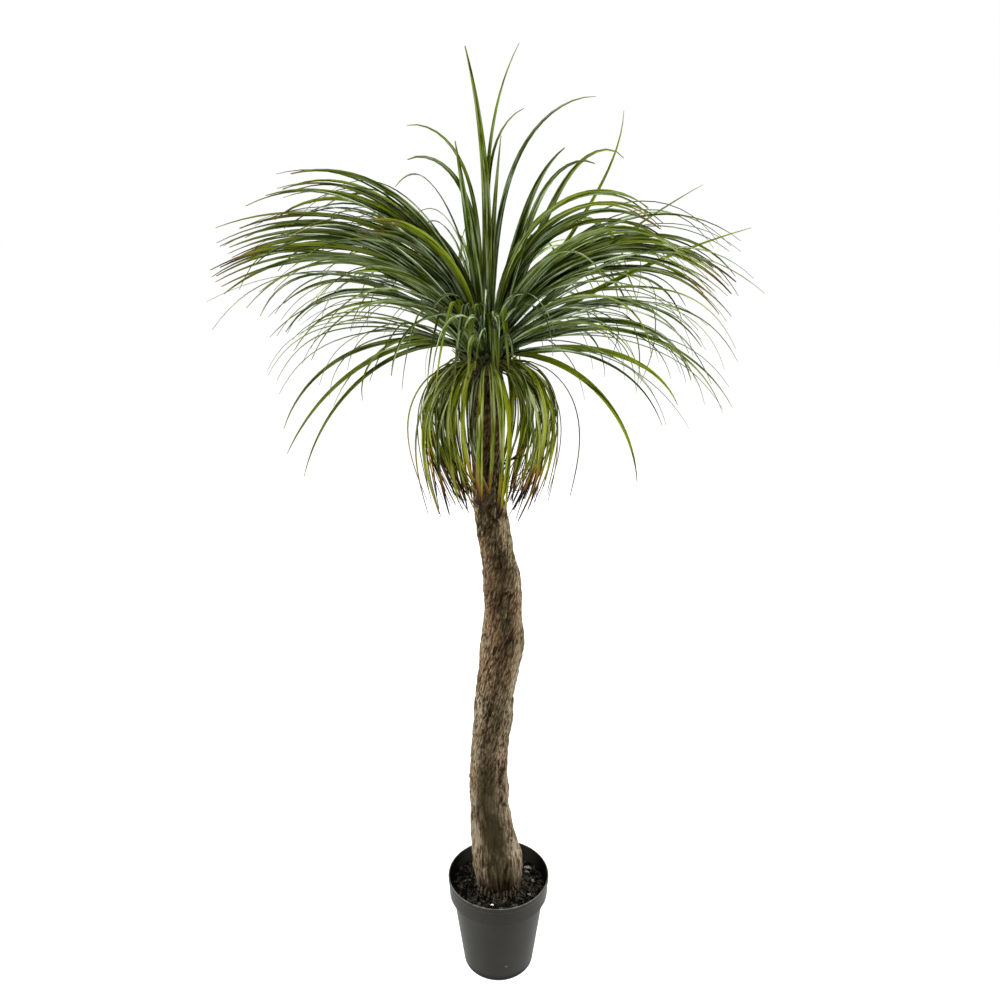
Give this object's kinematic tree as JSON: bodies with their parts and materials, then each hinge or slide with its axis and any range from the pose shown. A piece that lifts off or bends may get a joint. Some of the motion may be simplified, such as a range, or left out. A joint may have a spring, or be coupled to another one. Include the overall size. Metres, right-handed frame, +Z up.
{
  "type": "potted ponytail palm",
  "caption": "Tall potted ponytail palm: slim bare woody stem, hanging whorl of old leaves and an arching crown of strap leaves, in a plain nursery pot.",
  "frame": {"origin": "middle of the pot's flat underside, on the surface it stands on", "axes": "+Z up along the stem, the viewer of the picture on -Y, +X to the viewer's right"},
  "size_m": [0.7167, 0.5759, 1.4515],
  "materials": {
    "pot_plastic": "matte",
    "potting_mix": "matte",
    "bark": "matte",
    "old_leaf": "satin",
    "leaf": "satin"
  },
  "bodies": {
    "root": {"pot": "pot_plastic", "potting_mix": "potting_mix", "trunk": "bark", "hanging_leaves": "old_leaf", "crown_leaves": "leaf"}
  },
  "joints": []
}
